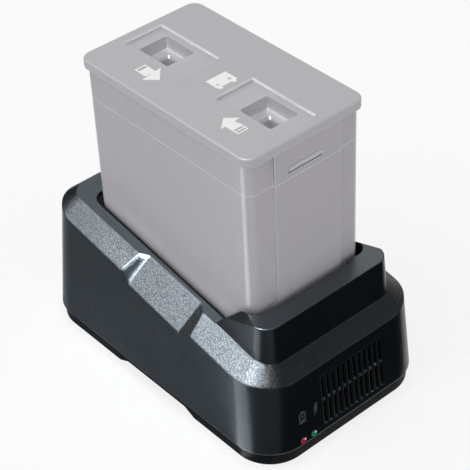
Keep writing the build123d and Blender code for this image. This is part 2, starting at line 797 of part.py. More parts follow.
with BuildPart() as pack_case:
    add(case_form)
    fillet(pack_case.edges().group_by(Axis.Z)[0], pack_foot_radius)
    add(case_hollow, mode=Mode.SUBTRACT)
    with BuildSketch(Plane.XY.offset(pack_bottom)):
        with Locations((0, pack_centre)):
            RectangleRounded(socket_width + 2 * pack_wall, socket_length + 2 * pack_wall, contact_radius)
    extrude(amount=socket_seat - pack_bottom + socket_height)
    with BuildSketch(Plane.XY.offset(pack_bottom)):
        with Locations((0, pack_centre)):
            RectangleRounded(contact_width + 2 * contact_fit, contact_length + 2 * contact_fit,
                             contact_radius)
    extrude(amount=socket_seat - pack_bottom, mode=Mode.SUBTRACT)
    with BuildSketch(Plane.XY.offset(socket_seat)):
        with Locations((0, pack_centre)):
            Rectangle(socket_width + 2 * lamp_fit, socket_length + 2 * lamp_fit)
    extrude(amount=2 * socket_height, mode=Mode.SUBTRACT)
    with BuildSketch(Plane.XY.offset(pack_bottom + pack_floor)):
        with Locations((0, pack_centre)):
            with GridLocations(block_rib_pitch, 0, 2, 1):
                Rectangle(pack_wall, block_length)
    extrude(amount=block_seat - pack_bottom - pack_floor)
finish(pack_case, "pack_case")

with BuildPart() as pack_socket:
    with BuildSketch(Plane.XY.offset(socket_seat)):
        with Locations((0, pack_centre)):
            Rectangle(socket_width, socket_length)
            with GridLocations(blade_pitch, 0, blade_count, 1):
                Rectangle(socket_slot_width, socket_slot_length, mode=Mode.SUBTRACT)
    extrude(amount=socket_height)
finish(pack_socket, "pack_socket")

with BuildPart() as socket_clips:
    with BuildSketch(Plane.XY.offset(socket_seat)):
        with Locations((0, pack_centre)):
            with GridLocations(blade_pitch, socket_slot_length - clip_thickness, blade_count, 2):
                Rectangle(blade_width, clip_thickness)
    extrude(amount=socket_height)
finish(socket_clips, "socket_clips")


def battery_block(bottom, name):
    """A sealed battery block lying flat, with two tab terminals at its front end."""
    with BuildPart() as block:
        with BuildSketch(Plane.XY.offset(bottom)):
            with Locations((0, pack_centre)):
                Rectangle(block_width, block_length)
        extrude(amount=block_height)
        fillet(block.edges().filter_by(Axis.Z), block_edge)
    finish(block, name)


battery_block(block_seat, "battery_block_lower")
battery_block(block_seat + block_height, "battery_block_upper")

with BuildPart() as battery_tabs:
    tab_bottom = block_seat + block_height
    with BuildSketch(Plane.XY.offset(tab_bottom + block_height)):
        with Locations((0, pack_centre - block_length / 2 + terminal_inset)):
            with GridLocations(block_width - 2 * terminal_inset, 0, 2, 1):
                Rectangle(terminal_width, terminal_thickness)
    extrude(amount=terminal_height)
finish(battery_tabs, "battery_tabs")

head_form = extrude(raised(pack_outline(), pack_seam), amount=lid_top - lid_thickness - pack_seam)
head_hollow = extrude(raised(pack_outline(-pack_wall), deck_top), amount=lid_top)
head_under = extrude(raised(pack_outline(-pack_wall), pack_seam), amount=deck_bottom - pack_seam)
lid_bottom = lid_top - lid_thickness
lid_screw_places = []
for x in (-lid_screw_x, lid_screw_x):
    for y in (-lid_screw_y, lid_screw_y):
        lid_screw_places.append((x, pack_centre + y))
plate_top = lid_top - lid_skin - latch_fit
plate_bottom = plate_top - latch_plate
rail_top = plate_bottom - latch_fit
plate_width = window_width + 2 * latch_flange_extra
pocket_inner = latch_plate_inner - latch_travel - latch_fit
pocket_outer = latch_plate_outer + latch_fit
window_middle = (window_inner + window_outer) / 2
window_length = window_outer - window_inner
rail_offset = (cup_width + rail_width) / 2 + latch_fit

with BuildPart() as pack_head:
    add(head_form)
    add([head_hollow, head_under], mode=Mode.SUBTRACT)
    with BuildSketch(Plane.XY.offset(deck_top)):
        with Locations((latch_x, pack_centre - window_middle), (latch_x, pack_centre + window_middle)):
            with GridLocations(2 * rail_offset, 0, 2, 1):
                Rectangle(rail_width, window_length)
    extrude(amount=rail_top - deck_top)
    with BuildSketch(Plane.XY.offset(deck_top)):
        with Locations((latch_x, pack_centre)):
            Rectangle(stop_width, 2 * stop_half_length)
    extrude(amount=rail_top - deck_top)
    with BuildSketch(Plane.XY.offset(deck_top)):
        with Locations(lid_screw_places):
            Circle(lid_boss_radius)
    extrude(amount=lid_bottom - deck_top)
    with BuildSketch(Plane.XY.offset(deck_bottom)):
        with Locations(lid_screw_places):
            Circle(lid_screw_radius)
    extrude(amount=lid_bottom - deck_bottom, mode=Mode.SUBTRACT)
    with BuildSketch(Plane.XY.offset(bolt_bottom - bolt_fit)):
        with Locations((latch_x, pack_centre)):
            with GridLocations(0, 2 * (window_outer + pack_wall), 1, 2):
                Rectangle(bolt_width + 2 * bolt_fit, 6 * pack_wall)
    extrude(amount=bolt_height + 2 * bolt_fit, mode=Mode.SUBTRACT)
finish(pack_head, "pack_head")

with BuildPart() as pack_lid:
    with BuildSketch(Plane.XY.offset(lid_bottom)):
        with Locations((0, pack_centre)):
            RectangleRounded(lid_width, lid_length, lid_corner_radius)
    extrude(amount=lid_thickness)
    fillet(pack_lid.faces().sort_by(Axis.Z)[-1].edges(), lid_edge)
    with BuildSketch(Plane.XY.offset(lid_bottom)):
        with Locations((latch_x, pack_centre - window_middle), (latch_x, pack_centre + window_middle)):
            Rectangle(window_width, window_length)
    extrude(amount=lid_thickness, mode=Mode.SUBTRACT)
    with BuildSketch(Plane.XY.offset(lid_bottom)):
        with Locations((latch_x, pack_centre)):
            with GridLocations(0, pocket_inner + pocket_outer, 1, 2):
                Rectangle(plate_width + 2 * latch_fit, pocket_outer - pocket_inner)
        with Locations((0, pack_centre)):
            with GridLocations(2 * side_pocket_x, 0, 2, 1):
                Rectangle(side_pocket_width, side_pocket_length)
    extrude(amount=lid_thickness - lid_skin, mode=Mode.SUBTRACT)
    with BuildSketch(Plane.XY.offset(lid_bottom)):
        with Locations(lid_screw_places):
            Circle(lid_screw_radius)
    extrude(amount=lid_screw_bite, mode=Mode.SUBTRACT)
finish(pack_lid, "pack_lid")


def latch(side, name):
    """A sliding latch: finger cup and plate above, bolt through the head's end wall below."""
    def along(distance):
        return pack_centre + side * distance

    def middle(inner, outer):
        return (latch_x, along((inner + outer) / 2))
    finger_centre = middle(finger_inner, finger_outer)
    with BuildPart() as slider:
        with BuildSketch(Plane.XY.offset(plate_bottom)):
            with Locations(middle(latch_plate_inner, latch_plate_outer)):
                Rectangle(plate_width, latch_plate_outer - latch_plate_inner)
        extrude(amount=latch_plate)
        with BuildSketch(Plane.XY.offset(cup_bottom)):
            with Locations(middle(cup_inner, cup_outer)):
                Rectangle(cup_width, cup_outer - cup_inner)
        extrude(amount=plate_bottom - cup_bottom)
        with BuildSketch(Plane.YZ.offset(latch_x - bolt_width / 2)):
            root = along(cup_outer - 1)
            tip = along(bolt_tip)
            bevel = along(bolt_tip - bolt_bevel)
            Polygon((root, bolt_bottom), (bevel, bolt_bottom), (tip, bolt_bottom + bolt_bevel),
                    (tip, bolt_bottom + bolt_height), (root, bolt_bottom + bolt_height), align=None)
        extrude(amount=bolt_width)
        funnel_mouth = Plane.XY.offset(plate_top)
        funnel_floor = Plane.XY.offset(plate_top - finger_funnel)
        with BuildSketch(funnel_mouth) as mouth:
            with Locations(finger_centre):
                RectangleRounded(finger_width, finger_outer - finger_inner, finger_edge)
        with BuildSketch(funnel_floor) as throat:
            with Locations(finger_centre):
                RectangleRounded(finger_floor_width, finger_floor_length, finger_edge)
        loft(sections=[mouth.sketch, throat.sketch], ruled=True, mode=Mode.SUBTRACT)
        with BuildSketch(funnel_floor):
            with Locations(finger_centre):
                RectangleRounded(finger_floor_width, finger_floor_length, finger_edge)
        extrude(amount=finger_funnel - finger_depth, mode=Mode.SUBTRACT)
    finish(slider, name)


latch(-1, "latch_front")
latch(1, "latch_rear")


def latch_spring(side, name):
    """A small coil spring between the middle stop and the latch's cup."""
    inner = pack_centre + side * (stop_half_length + spring_fit)
    outer = pack_centre + side * (cup_inner - spring_fit)
    runs = spring_turns * spring_facets
    rise = (abs(outer - inner) - 2 * spring_wire) / runs
    corners = []
    for run in range(runs + 1):
        turn = radians(360 * run / spring_facets)
        corners.append((latch_x + spring_radius * cos(turn), inner + side * (spring_wire + rise * run),
                        spring_height + spring_radius * sin(turn)))
    with BuildPart() as spring:
        with BuildLine() as coil:
            Polyline(*corners)
        with BuildSketch(Plane(coil.wire() @ 0, z_dir=coil.wire() % 0)):
            RegularPolygon(spring_wire, 6)
        sweep(transition=Transition.RIGHT)
    finish(spring, name)


latch_spring(-1, "latch_spring_front")
latch_spring(1, "latch_spring_rear")

with BuildPart() as lid_screws:
    with BuildSketch(Plane.XY.offset(deck_bottom - lid_screw_head_height)):
        with Locations(lid_screw_places):
            Circle(lid_screw_head_radius)
    extrude(amount=lid_screw_head_height)
    with BuildSketch(Plane.XY.offset(deck_bottom)):
        with Locations(lid_screw_places):
            Circle(lid_screw_radius)
    extrude(amount=lid_bottom + lid_screw_bite - deck_bottom)
finish(lid_screws, "lid_screws")
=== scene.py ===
import bpy
import bmesh
import json
import math
from mathutils import Matrix, Vector

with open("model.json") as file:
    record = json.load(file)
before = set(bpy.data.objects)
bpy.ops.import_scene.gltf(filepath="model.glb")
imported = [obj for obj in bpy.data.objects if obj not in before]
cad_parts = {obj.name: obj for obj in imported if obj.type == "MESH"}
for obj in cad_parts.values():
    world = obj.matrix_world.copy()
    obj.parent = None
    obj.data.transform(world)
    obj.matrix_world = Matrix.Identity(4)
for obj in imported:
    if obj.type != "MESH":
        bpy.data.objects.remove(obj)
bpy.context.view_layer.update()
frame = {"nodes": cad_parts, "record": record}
nodes = frame["nodes"]
print("frame loaded:", len(nodes), "nodes")


class Signal:
    # one number or colour on its way through a material; sums on it add Math nodes
    def __init__(self, paint, socket):
        self.paint = paint
        self.socket = socket

    def maths(self, operation, *values):
        made = self.paint.node("Math", {"operation": operation}, dict(enumerate(values)))
        return Signal(self.paint, made.outputs[0])

    def __add__(self, other):
        return self.maths("ADD", self, other)

    def __radd__(self, other):
        return self.maths("ADD", other, self)

    def __sub__(self, other):
        return self.maths("SUBTRACT", self, other)

    def __rsub__(self, other):
        return self.maths("SUBTRACT", other, self)

    def __mul__(self, other):
        return self.maths("MULTIPLY", self, other)

    def __rmul__(self, other):
        return self.maths("MULTIPLY", other, self)

    def __abs__(self):
        return self.maths("ABSOLUTE", self)

    def least(self, other):
        return self.maths("MINIMUM", self, other)

    def most(self, other):
        return self.maths("MAXIMUM", self, other)

    def step(self, low, high):
        # 0 below low, 1 above high, a soft S between
        made = self.paint.node("MapRange", {"interpolation_type": "SMOOTHSTEP"},
                               {"Value": self, "From Min": low, "From Max": high})
        return Signal(self.paint, made.outputs["Result"])

    def between(self, rise, fall):
        # 1 from the end of rise to the start of fall
        return self.step(*rise) * (1 - self.step(*fall))

    def fit(self, low, high):
        made = self.paint.node("MapRange", {}, {"Value": self, "To Min": low, "To Max": high})
        return Signal(self.paint, made.outputs["Result"])


# samples of the rounded normals, and how far such a normal has turned where a corner's painted
# highlight starts and is full
roundedValues = {"samples": 8, "turn": (0.02, 0.16)}


class Paint:
    # the nodes of a material or of the world, and the one way that they are added
    def __init__(self, owner):
        owner.use_nodes = True
        self.owner = owner
        self.tree = owner.node_tree
        self.tree.nodes.clear()

    def node(self, kind, settings=None, sockets=None):
        made = self.tree.nodes.new("ShaderNode" + kind)
        for key, value in (settings or {}).items():
            setattr(made, key, value)
        for key, value in (sockets or {}).items():
            if isinstance(value, Signal):
                self.tree.links.new(value.socket, made.inputs[key])
            elif isinstance(value, bpy.types.NodeSocket):
                self.tree.links.new(value, made.inputs[key])
            else:
                made.inputs[key].default_value = value
        return made

    def place(self, output="Object"):
        if "coordinates" not in self.tree.nodes:
            self.node("TexCoord", {"name": "coordinates"})
        return self.tree.nodes["coordinates"].outputs[output]

    def noise(self, scale, detail=2.0, roughness=0.5):
        made = self.node("TexNoise", {}, {"Vector": self.place(), "Scale": scale,
                                          "Detail": detail, "Roughness": roughness})
        return Signal(self, made.outputs["Fac"])

    def axes(self, output="Object"):
        made = self.node("SeparateXYZ", {}, {0: self.place(output)})
        return [Signal(self, made.outputs[i]) for i in range(3)]

    def blend(self, factor, first, second):
        # a colour Mix node has its colours at sockets 6 and 7 and its result at 2
        made = self.node("Mix", {"data_type": "RGBA"}, {0: factor, 6: first, 7: second})
        return Signal(self, made.outputs[2])

    def mix(self, factor, first, second):
        return self.node("MixShader", {}, {0: factor, 1: first, 2: second}).outputs[0]

    def rounded(self, radius):
        samples = {"samples": roundedValues["samples"]}
        return self.node("Bevel", samples, {"Radius": radius}).outputs[0]

    def bump(self, height, distance, edge=0.0):
        sockets = {"Height": height, "Distance": distance}
        if edge:
            sockets["Normal"] = self.rounded(edge)
        return self.node("Bump", {}, sockets).outputs[0]

    def edges(self, radius):
        # 1 along corners and edges, where the rounded normal leaves the true one
        true = self.node("NewGeometry").outputs["Normal"]
        agree = self.node("VectorMath", {"operation": "DOT_PRODUCT"},
                          {0: self.rounded(radius), 1: true})
        return (1 - Signal(self, agree.outputs["Value"])).step(*roundedValues["turn"])

    def shader(self, sockets):
        return self.node("BsdfPrincipled", {}, sockets).outputs[0]

    def finish(self, shader, output="OutputMaterial"):
        self.node(output, {}, {"Surface": shader})
        return self.owner


def newPaint(name):
    return Paint(bpy.data.materials.new(name))


def rgba(colour):
    return (colour[0], colour[1], colour[2], 1.0)


def shade(colour, factor):
    return rgba([part * factor for part in colour])


def linked(name, data):
    made = bpy.data.objects.new(name, data)
    bpy.context.scene.collection.objects.link(made)
    return made


def facing(at, aim):
    # the turn that points a lamp or a card at the place aim
    return (Vector(at) - Vector(aim)).to_track_quat("Z", "Y").to_euler()


def sheet(name, size, taper=1.0):
    # a flat sheet, narrowed at its +x end
    bm = bmesh.new()
    bmesh.ops.create_grid(bm, x_segments=1, y_segments=1, size=0.5)
    bmesh.ops.scale(bm, vec=(size[0], size[1], 1.0), verts=bm.verts)
    narrow = [vert for vert in bm.verts if vert.co.x > 0]
    bmesh.ops.scale(bm, vec=(1.0, taper, 1.0), verts=narrow)
    mesh = bpy.data.meshes.new(name)
    bm.to_mesh(mesh)
    bm.free()
    return linked(name, mesh)


# direction from the target to the camera by azimuth and elevation, then a roll about the view;
# the focal length and the frame are in pixels
cameraValues = {
    "azimuth": -39.609, "elevation": 38.717, "roll": -2.872, "distance": 1.192893,
    "target": (0.003897, -0.005574, 0.102), "focal": 1640.769, "frame": 470.0, "sensor": 36.0,
    "near": 0.01, "far": 50.0,
}


def makeCamera(v):
    azimuth = math.radians(v["azimuth"])
    elevation = math.radians(v["elevation"])
    roll = math.radians(v["roll"])
    back = Vector((math.sin(azimuth) * math.cos(elevation),
                   -math.cos(azimuth) * math.cos(elevation), math.sin(elevation)))
    right = (-back).cross(Vector((0, 0, 1))).normalized()
    up = right.cross(-back)
    turnedRight = right * math.cos(roll) + up * math.sin(roll)
    turnedUp = up * math.cos(roll) - right * math.sin(roll)
    data = bpy.data.cameras.new("camera")
    data.sensor_width = v["sensor"]
    data.lens = v["focal"] / v["frame"] * v["sensor"]
    data.clip_start = v["near"]
    data.clip_end = v["far"]
    camera = linked("camera", data)
    basis = Matrix((turnedRight, turnedUp, back)).transposed().to_4x4()
    camera.matrix_world = Matrix.Translation(Vector(v["target"]) + back * v["distance"]) @ basis
    bpy.context.scene.camera = camera


makeCamera(cameraValues)
bpy.context.scene.view_settings.view_transform = "Standard"

# sizes in metres, power in watts; a lamp with diffuse False adds only its reflection: on the
# grained band, its near corner, the scoop's faces, the ridges beside the scoop and the tops
coolWhite = (0.92, 0.97, 1.0)
lampValues = {
    "upperLeft": {"at": (-1.6, 0.8, 2.0), "size": 1.8, "power": 14.0},
    "frontFill": {"at": (0.9, -2.2, 0.7), "size": 1.6, "depth": 1.2, "power": 6.0},
    "bandSheen": {"at": (-0.70, 0.51, 0.955), "size": 0.38, "power": 11.0, "colour": coolWhite,
                  "aim": (-0.05, 0.0, 0.1), "diffuse": False},
    "cornerSheen": {"at": (-0.50, -0.14, 1.15), "size": 0.30, "power": 215.0,
                    "colour": coolWhite, "aim": (-0.05, -0.1, 0.1), "diffuse": False},
    "scoopSheen": {"at": (-0.872, 0.4155, 0.79), "size": 0.38, "power": 22.0,
                   "colour": coolWhite, "aim": (-0.07, -0.01, 0.09), "diffuse": False},
    "ridgeSheen": {"at": (-0.85, -0.033, 0.873), "size": 0.22, "power": 60.0,
                   "colour": coolWhite, "aim": (-0.07, 0.03, 0.09), "diffuse": False},
    "topSheen": {"at": (1.5, 1.86, 1.90), "size": 1.8, "power": 23.0, "colour": coolWhite,
                 "diffuse": False},
}


def makeLamp(name, v):
    data = bpy.data.lights.new(name, "AREA")
    data.shape = "RECTANGLE"
    data.size = v["size"]
    data.size_y = v.get("depth", v["size"])
    data.energy = v["power"]
    data.color = v.get("colour", (1.0, 1.0, 1.0))
    lamp = linked(name, data)
    lamp.location = v["at"]
    lamp.rotation_euler = facing(v["at"], v.get("aim", (0.0, 0.0, 0.1)))
    lamp.visible_camera = False
    lamp.visible_diffuse = v.get("diffuse", True)


for name, v in lampValues.items():
    makeLamp(name, v)

# ambient lights the object, backdrop is what is seen of the world
worldValues = {"colour": (1.0, 1.0, 1.0), "ambient": 0.80, "backdrop": 1.0}


def seenPlainly(paint):
    # 1 for rays that see the backdrop itself: from the camera, in gloss and through glass
    rays = paint.node("LightPath").outputs
    camera, gloss, glass = [Signal(paint, rays[f"Is {kind} Ray"])
                            for kind in ("Camera", "Glossy", "Transmission")]
    return (camera + gloss + glass).least(1.0)


def makeWorld(v):
    paint = Paint(bpy.data.worlds.new("studio"))
    dim, plain = [paint.node("Background", {}, {"Color": rgba(v["colour"]), "Strength": v[key]})
                  for key in ("ambient", "backdrop")]
    mixed = paint.mix(seenPlainly(paint), dim.outputs[0], plain.outputs[0])
    bpy.context.scene.world = paint.finish(mixed, "OutputWorld")


makeWorld(worldValues)

# the floor that is seen is mostly white light, with a share that takes the object's shadow
floorValues = {"size": (30.0, 30.0), "height": -0.0002, "colour": (0.85, 0.85, 0.86),
               "white": (1.0, 1.0, 1.0), "strength": 1.0, "shadowShare": 0.22}


def makeFloor(v):
    floor = sheet("floor", v["size"])
    floor.location.z = v["height"]
    paint = newPaint("paleFloor")
    matt = paint.node("BsdfDiffuse", {}, {"Color": rgba(v["colour"])}).outputs[0]
    white = paint.node("Emission", {}, {"Color": rgba(v["white"]), "Strength": v["strength"]})
    soft = paint.mix(v["shadowShare"], white.outputs[0], matt)
    floor.data.materials.append(paint.finish(paint.mix(seenPlainly(paint), matt, soft)))


makeFloor(floorValues)

# cards that are seen only in reflections: dark beside the lamp end, cool grey beside the long
# wall, a glowing fan off the near corner, a dark one behind and a grey one above the lamp end
cardValues = {
    "lampEndCard": {"at": (0.20, -0.335, 0.0006), "size": (0.54, 0.40),
                    "colour": (0.01, 0.011, 0.012)},
    "longSideCard": {"at": (-0.38, 0.22, 0.0003), "size": (0.62, 0.90),
                     "colour": (0.45, 0.51, 0.565)},
    "cornerCard": {"at": (-0.262, -0.022, 0.0009), "size": (0.40, 0.33), "turn": -24.4,
                   "taper": 0.036, "colour": (0.9, 0.95, 1.0), "glow": 5.0},
    "rearCard": {"at": (0.10, 0.42, 0.14), "size": (0.90, 0.28), "tilt": 90.0,
                 "colour": (0.02, 0.022, 0.025)},
    "overheadCard": {"at": (0.44, -0.50, 0.70), "size": (0.9, 0.7), "aim": (0.0, 0.0, 0.1),
                     "colour": (0.25, 0.27, 0.29)},
}


def makeCard(name, v):
    card = sheet(name, v["size"], v.get("taper", 1.0))
    card.location = v["at"]
    if "aim" in v:
        card.rotation_euler = facing(v["at"], v["aim"])
    else:
        card.rotation_euler = (math.radians(v.get("tilt", 0.0)), 0.0,
                               math.radians(v.get("turn", 0.0)))
    card.visible_camera = False
    card.visible_diffuse = False
    card.visible_shadow = False
    paint = newPaint(name)
    if "glow" in v:
        face = paint.node("Emission", {}, {"Color": rgba(v["colour"]), "Strength": v["glow"]})
    else:
        face = paint.node("BsdfDiffuse", {}, {"Color": rgba(v["colour"])})
    card.data.materials.append(paint.finish(face.outputs[0]))


for name, v in cardValues.items():
    makeCard(name, v)
print("camera, lamps and floor made")


softEdge = 0.0001


# masks are 1 inside a form and 0 outside, with a soft edge on both sides of the outline
def patch(x, y, at, size, turn=0.0, soft=softEdge):
    # a rectangle on the x, y plane, turned by degrees
    c, s = math.cos(math.radians(turn)), math.sin(math.radians(turn))
    u = (x - at[0]) * c + (y - at[1]) * s
    v = (y - at[1]) * c - (x - at[0]) * s
    outside = (abs(u) - size[0] / 2).most(abs(v) - size[1] / 2)
    return 1 - outside.step(-soft, soft)


def wedge(x, y, corners):
    # a convex outline whose corners run anticlockwise
    inside = None
    for (ax, ay), (bx, by) in zip(corners, corners[1:] + corners[:1]):
        length = math.hypot(bx - ax, by - ay)
        side = (y - ay) * ((bx - ax) / length) - (x - ax) * ((by - ay) / length)
        inside = side if inside is None else side.least(inside)
    return inside.step(-softEdge, softEdge)


def either(*masks):
    total = masks[0]
    for mask in masks[1:]:
        total = total.most(mask)
    return total


# the battery and bolt signs above the lamps, in x and z on the lamp end; their parts are
# measured from each sign's middle, and depth keeps them off the other walls
signValues = {
    "battery": (-0.0436, 0.0353), "bolt": (-0.0313, 0.0356), "depth": (-0.1200, -0.1190),
    "case": ((0.0, 0.0), (0.0062, 0.0092)), "window": ((0.0, 0.00092), (0.0040, 0.00516)),
    "cap": ((0.0, 0.0051), (0.0031, 0.0014)),
    "diamond": ((0.0, 0.001104), (0.001984, 0.001984), 45.0),
    "boltUpper": [(-0.0019, -0.0006), (0.0006, -0.0006), (0.0024, 0.0052), (-0.0002, 0.0052)],
    "boltLower": [(-0.0016, -0.0056), (0.0026, 0.0010), (-0.0004, 0.0010)],
}


def lampSigns(x, y, z, v):
    across, above = x - v["battery"][0], z - v["battery"][1]
    case, window, cap, diamond = [patch(across, above, *v[part])
                                  for part in ("case", "window", "cap", "diamond")]
    across, above = x - v["bolt"][0], z - v["bolt"][1]
    upper, lower = [wedge(across, above, v[part]) for part in ("boltUpper", "boltLower")]
    signs = either(case * (1 - window), cap, diamond, upper, lower)
    return signs * (1 - y.step(*v["depth"]))


# slopes, heights and places are pairs: where a mask starts and where it is full
housingLook = {
    # satin is a lighter colour painted on the level tops, a painted sheen
    "smooth": (0.0026, 0.0036, 0.0045), "satin": (0.021, 0.025, 0.029), "specular": 0.25,
    "tint": (0.80, 0.92, 1.0), "roughness": (0.24, 0.31), "satinRoughness": 0.04,
    "toneScale": 14.0, "toneSpread": (0.88, 1.12), "peelScale": 2200.0, "peel": 0.00002,
    "edge": 0.0012,
    # the grained shoulders, below the rim's plane
    # speck colours lighter specks in the grain, which also stand in for its glints (painted
    # sparkle)
    "grained": (0.002, 0.0024, 0.0028), "speck": (0.014, 0.016, 0.018),
    "grainTint": (0.90, 0.95, 1.0), "grainSpecular": 0.20, "dullSpecular": 0.05,
    "grainRoughness": (0.23, 0.38), "grainScale": 1550.0, "pitScale": 3565.0,
    "gritShare": 0.65, "grainDepth": 0.00030, "grainEdge": 0.0026, "gritFrom": (0.4, 0.6),
    "stippleScale": 1250.0, "stippleFrom": (0.42, 0.58), "stipple": (0.0, 0.9),
    "rimHeight": 0.1015, "rimSlope": math.tan(math.radians(10.0)), "rimFrom": (-0.0004, 0.0002),
    "shoulderSlope": (0.66, 0.72), "levelSlope": (0.93, 0.965),
    # the sloping ends of the scoops, and the collar's ramps
    "steepSlope": (0.25, 0.35), "rearwardSlope": (0.18, 0.22), "scoopMiddle": (0.005, 0.010),
    "rampFrom": (-0.090, -0.086), "endEdge": 0.0056, "endRoughness": 0.22, "frontEndDull": 0.9,
    # the printed signs, and a painted highlight: the light line at the foot of the walls
    "ink": (0.045, 0.048, 0.052), "lip": (0.05, 0.055, 0.06), "lipFrom": (0.0117, 0.0121),
    "lipTo": (0.0126, 0.0130),
}


def housingPlastic(v):
    paint = newPaint("housingPlastic")
    x, y, z = paint.axes()
    sideward, rearward, upward = paint.axes("Normal")
    aboveRim = z - y * v["rimSlope"] - v["rimHeight"]
    grained = upward.between(v["shoulderSlope"], v["levelSlope"])
    grained = grained * (1 - aboveRim.step(*v["rimFrom"]))
    behind = y.step(*v["scoopMiddle"])
    rearEnd = upward.between(v["steepSlope"], v["shoulderSlope"]) * behind
    frontEnd = rearward.step(*v["rearwardSlope"]) * upward.step(*v["steepSlope"])
    frontEnd = frontEnd * y.step(*v["rampFrom"]) * (1 - behind) * v["frontEndDull"]
    level = upward.step(*v["levelSlope"])

    tone = paint.noise(v["toneScale"], detail=3.0)
    low, high = v["toneSpread"]
    colour = paint.blend(tone, shade(v["smooth"], low), shade(v["smooth"], high))
    colour = paint.blend(lampSigns(x, y, z, signValues), colour, rgba(v["ink"]))
    # painted highlight: a light line along the foot of the walls
    colour = paint.blend(z.between(v["lipFrom"], v["lipTo"]), colour, rgba(v["lip"]))
    # painted light: the level tops are painted lighter than the walls
    satin = paint.blend(tone, shade(v["satin"], low), shade(v["satin"], high))
    plain = {"Base Color": paint.blend(level, colour, satin),
             "Specular IOR Level": v["specular"], "Specular Tint": rgba(v["tint"])}
    peel = paint.noise(v["peelScale"], detail=1.0)
    smooth = paint.shader({**plain,
                           "Roughness": tone.fit(*v["roughness"]) + level * v["satinRoughness"],
                           "Normal": paint.bump(peel, v["peel"], v["edge"])})
    ridged = paint.shader({**plain, "Roughness": v["endRoughness"],
                           "Normal": paint.bump(peel, v["peel"], v["endEdge"])})

    grit = paint.noise(v["grainScale"], roughness=0.6)
    pits = paint.noise(v["pitScale"], detail=1.0)
    height = grit * v["gritShare"] + pits * (1 - v["gritShare"])
    # lighter specks, partly the grain and partly painted glints
    stipple = paint.noise(v["stippleScale"], detail=1.0).step(*v["stippleFrom"])
    grainAndGlintSpecks = paint.blend(stipple, rgba(v["speck"]), rgba(v["grained"]))
    rough = paint.shader({"Base Color": grainAndGlintSpecks, "Specular IOR Level": v["grainSpecular"],
                          "Specular Tint": rgba(v["grainTint"]),
                          "Roughness": grit.step(*v["gritFrom"]).fit(*v["grainRoughness"]),
                          "Normal": paint.bump(height, v["grainDepth"], v["grainEdge"])})
    dull = paint.shader({"Base Color": grainAndGlintSpecks, "Specular IOR Level": v["dullSpecular"],
                         "Specular Tint": rgba(v["tint"]), "Roughness": v["grainRoughness"][1]})
    rough = paint.mix(stipple.fit(*v["stipple"]), rough, dull)
    smooth = paint.mix(rearEnd, smooth, ridged)
    smooth = paint.mix(frontEnd, smooth, dull)
    return paint.finish(paint.mix(grained, smooth, rough))


# marks printed on the pack's lid, as places and sizes in x and y
lidMarks = {
    "rearArrow": {
        "head": [(-0.0319, 0.0225), (-0.0217, 0.0338), (-0.0403, 0.0309)],
        "bars": [((-0.0316, 0.0366), (0.0090, 0.0080)), ((-0.0314, 0.0438), (0.0092, 0.0010)),
                 ((-0.03575, 0.0385), (0.0009, 0.0115)), ((-0.0274, 0.0385), (0.0009, 0.0115))]},
    "frontArrow": {
        "head": [(-0.0308, -0.0416), (-0.0403, -0.0500), (-0.0228, -0.0490)],
        "bars": [((-0.0317, -0.0525), (0.0078, 0.0085)), ((-0.0317, -0.0590), (0.0086, 0.0009)),
                 ((-0.0317, -0.0617), (0.0092, 0.0010)), ((-0.0359, -0.0555), (0.0009, 0.0125)),
                 ((-0.0275, -0.0575), (0.0009, 0.0085))]},
    "battery": {
        "case": ((-0.0023, -0.0070), (0.0178, 0.0122)),
        "terminals": [((-0.0087, -0.0140), (0.0030, 0.0020)),
                      ((0.0033, -0.0140), (0.0030, 0.0020))],
        "signs": [((0.0028, -0.0093), (0.0030, 0.0010)), ((0.0028, -0.0093), (0.0010, 0.0030)),
                  ((-0.0080, -0.0096), (0.0030, 0.0010))]},
}


def lidInk(x, y, v):
    masks = []
    for arrow in (v["rearArrow"], v["frontArrow"]):
        (ax, ay), (bx, by), (cx, cy) = corners = arrow["head"]
        anticlockwise = (bx - ax) * (cy - ay) > (by - ay) * (cx - ax)
        masks.append(wedge(x, y, corners if anticlockwise else corners[::-1]))
        masks += [patch(x, y, at, size) for at, size in arrow["bars"]]
    battery = v["battery"]
    signs = [patch(x, y, at, size) for at, size in battery["signs"]]
    masks.append(patch(x, y, *battery["case"]) * (1 - either(*signs)))
    masks += [patch(x, y, at, size) for at, size in battery["terminals"]]
    return either(*masks)
